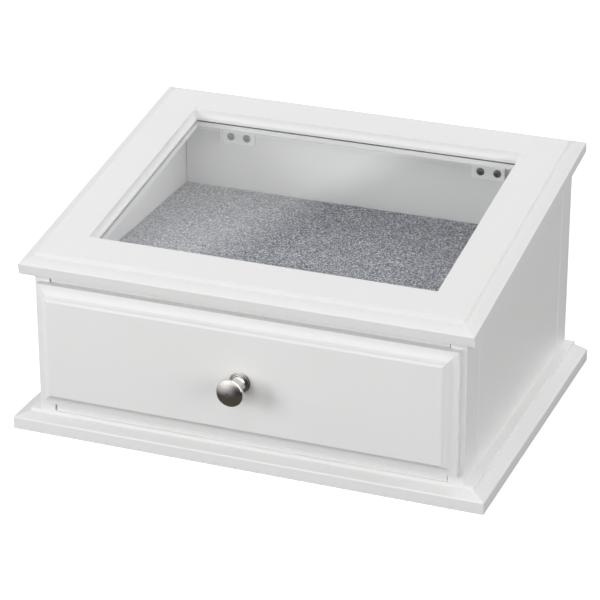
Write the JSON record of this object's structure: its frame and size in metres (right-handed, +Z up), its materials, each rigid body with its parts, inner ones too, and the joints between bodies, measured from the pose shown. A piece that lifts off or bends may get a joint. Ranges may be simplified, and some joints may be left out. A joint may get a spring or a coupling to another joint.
{
  "type": "jewellery chest with drawer and glazed lid",
  "caption": "White-painted jewellery chest: slanted glazed lid hinged over a felt-lined tray, panelled drawer with a metal knob below, moulded plinth.",
  "frame": {"origin": "on the floor at the centre of the plinth's rectangular underside", "axes": "+X to the chest's right seen from the front, +Y to the rear, +Z up"},
  "size_m": [0.33, 0.27, 0.1647],
  "materials": {
    "white_paint": "satin white paint on fine-grained wood board",
    "bare_wood": "bare smooth wood, hidden inside",
    "felt": "mottled grey felt",
    "glass": "clear polished sheet",
    "hinge_white": "pressed steel, light satin coat",
    "steel": "plain steel",
    "nickel": "polished nickel plate"
  },
  "bodies": {
    "chest": {"plinth": "white_paint", "plinth_screws": "steel", "side_panel_left": "white_paint", "side_panel_right": "white_paint", "back_panel": "white_paint", "top_rail": "white_paint", "bottom_rail": "white_paint", "tray_floor": "bare_wood", "tray_felt": "felt", "runner_left": "bare_wood", "runner_right": "bare_wood", "hinge_left_body_leaf": "hinge_white", "hinge_left_pin": "steel", "hinge_right_body_leaf": "hinge_white", "hinge_right_pin": "steel", "hinge_body_screws": "steel"},
    "lid": {"lid_rail_front": "white_paint", "lid_rail_rear": "white_paint", "lid_rail_left": "white_paint", "lid_rail_right": "white_paint", "lid_glass": "glass", "bead_front": "white_paint", "bead_rear": "white_paint", "bead_left": "white_paint", "bead_right": "white_paint", "bead_pins": "white_paint", "hinge_left_lid_leaf": "hinge_white", "hinge_right_lid_leaf": "hinge_white", "hinge_lid_screws": "steel"},
    "drawer": {"drawer_front": "white_paint", "drawer_side_left": "white_paint", "drawer_side_right": "white_paint", "drawer_back": "white_paint", "drawer_bottom": "bare_wood", "drawer_felt": "felt", "drawer_dowels": "bare_wood", "knob": "nickel", "knob_screw": "steel"}
  },
  "joints": [
    {"name": "lid_hinge", "type": "hinge", "parent": "chest", "child": "lid", "pos_m": [0, 0.122, 0.14988], "axis": [-1, 0, 0], "range_deg": [0, 95]},
    {"name": "drawer_slide", "type": "slide", "parent": "chest", "child": "drawer", "axis": [0, -1, 0], "range_m": [0, 0.18]}
  ]
}
